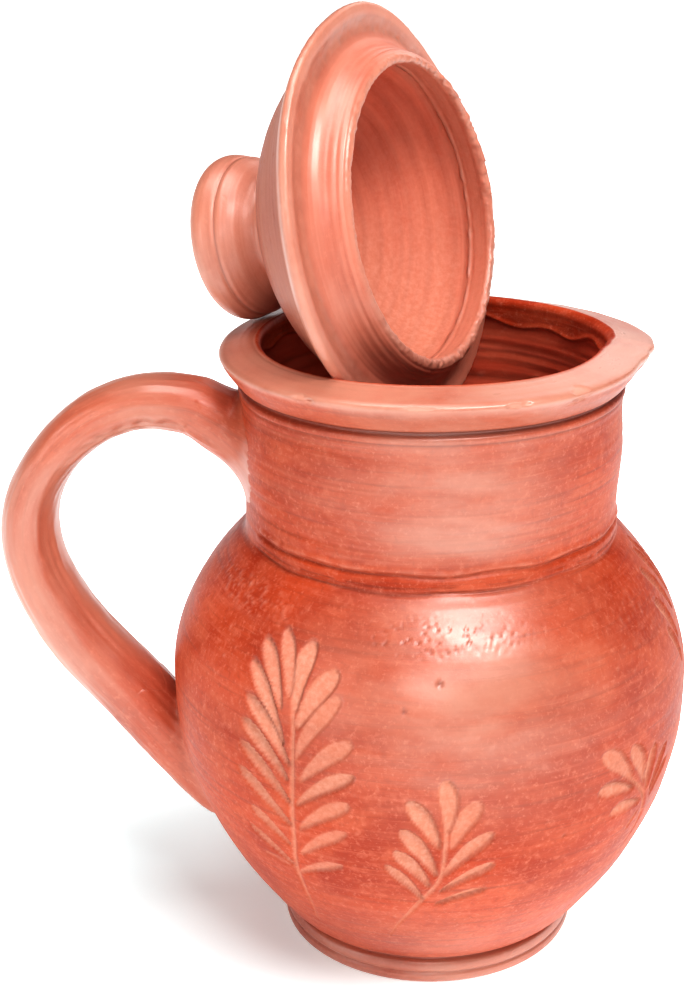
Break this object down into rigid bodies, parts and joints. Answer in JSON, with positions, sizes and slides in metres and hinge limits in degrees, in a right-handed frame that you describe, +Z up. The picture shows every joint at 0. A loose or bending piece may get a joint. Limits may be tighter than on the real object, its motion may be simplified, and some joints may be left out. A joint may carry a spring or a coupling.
{
  "type": "lidded water jug",
  "caption": "Round-bellied terracotta water jug with a pinched spout, a looped strap handle and a loose knobbed lid stood on edge in its mouth.",
  "frame": {"origin": "on the jug's turning axis, in the flat plane of its foot", "axes": "+Z up along the jug's turning axis, +X towards the spout, -X towards the handle, +Y to the back of the jug as pictured"},
  "size_m": [0.2011, 0.15, 0.271],
  "materials": {
    "burnished_clay": "terracotta with a burnished red slip, satin",
    "bare_clay": "fired terracotta, thinner and paler slip, satin"
  },
  "bodies": {
    "jug": {"foot": "burnished_clay", "belly": "burnished_clay", "neck": "burnished_clay", "rim": "burnished_clay", "handle": "burnished_clay", "upper_lute": "burnished_clay", "lower_lute": "burnished_clay"},
    "lid": {"lid_dome": "burnished_clay", "lid_collar": "bare_clay", "lid_knob": "burnished_clay"}
  },
  "joints": [
    {"name": "lid_lift", "type": "slide", "parent": "jug", "child": "lid", "axis": [0, 0, 1], "range_m": [0, 0.16]}
  ]
}
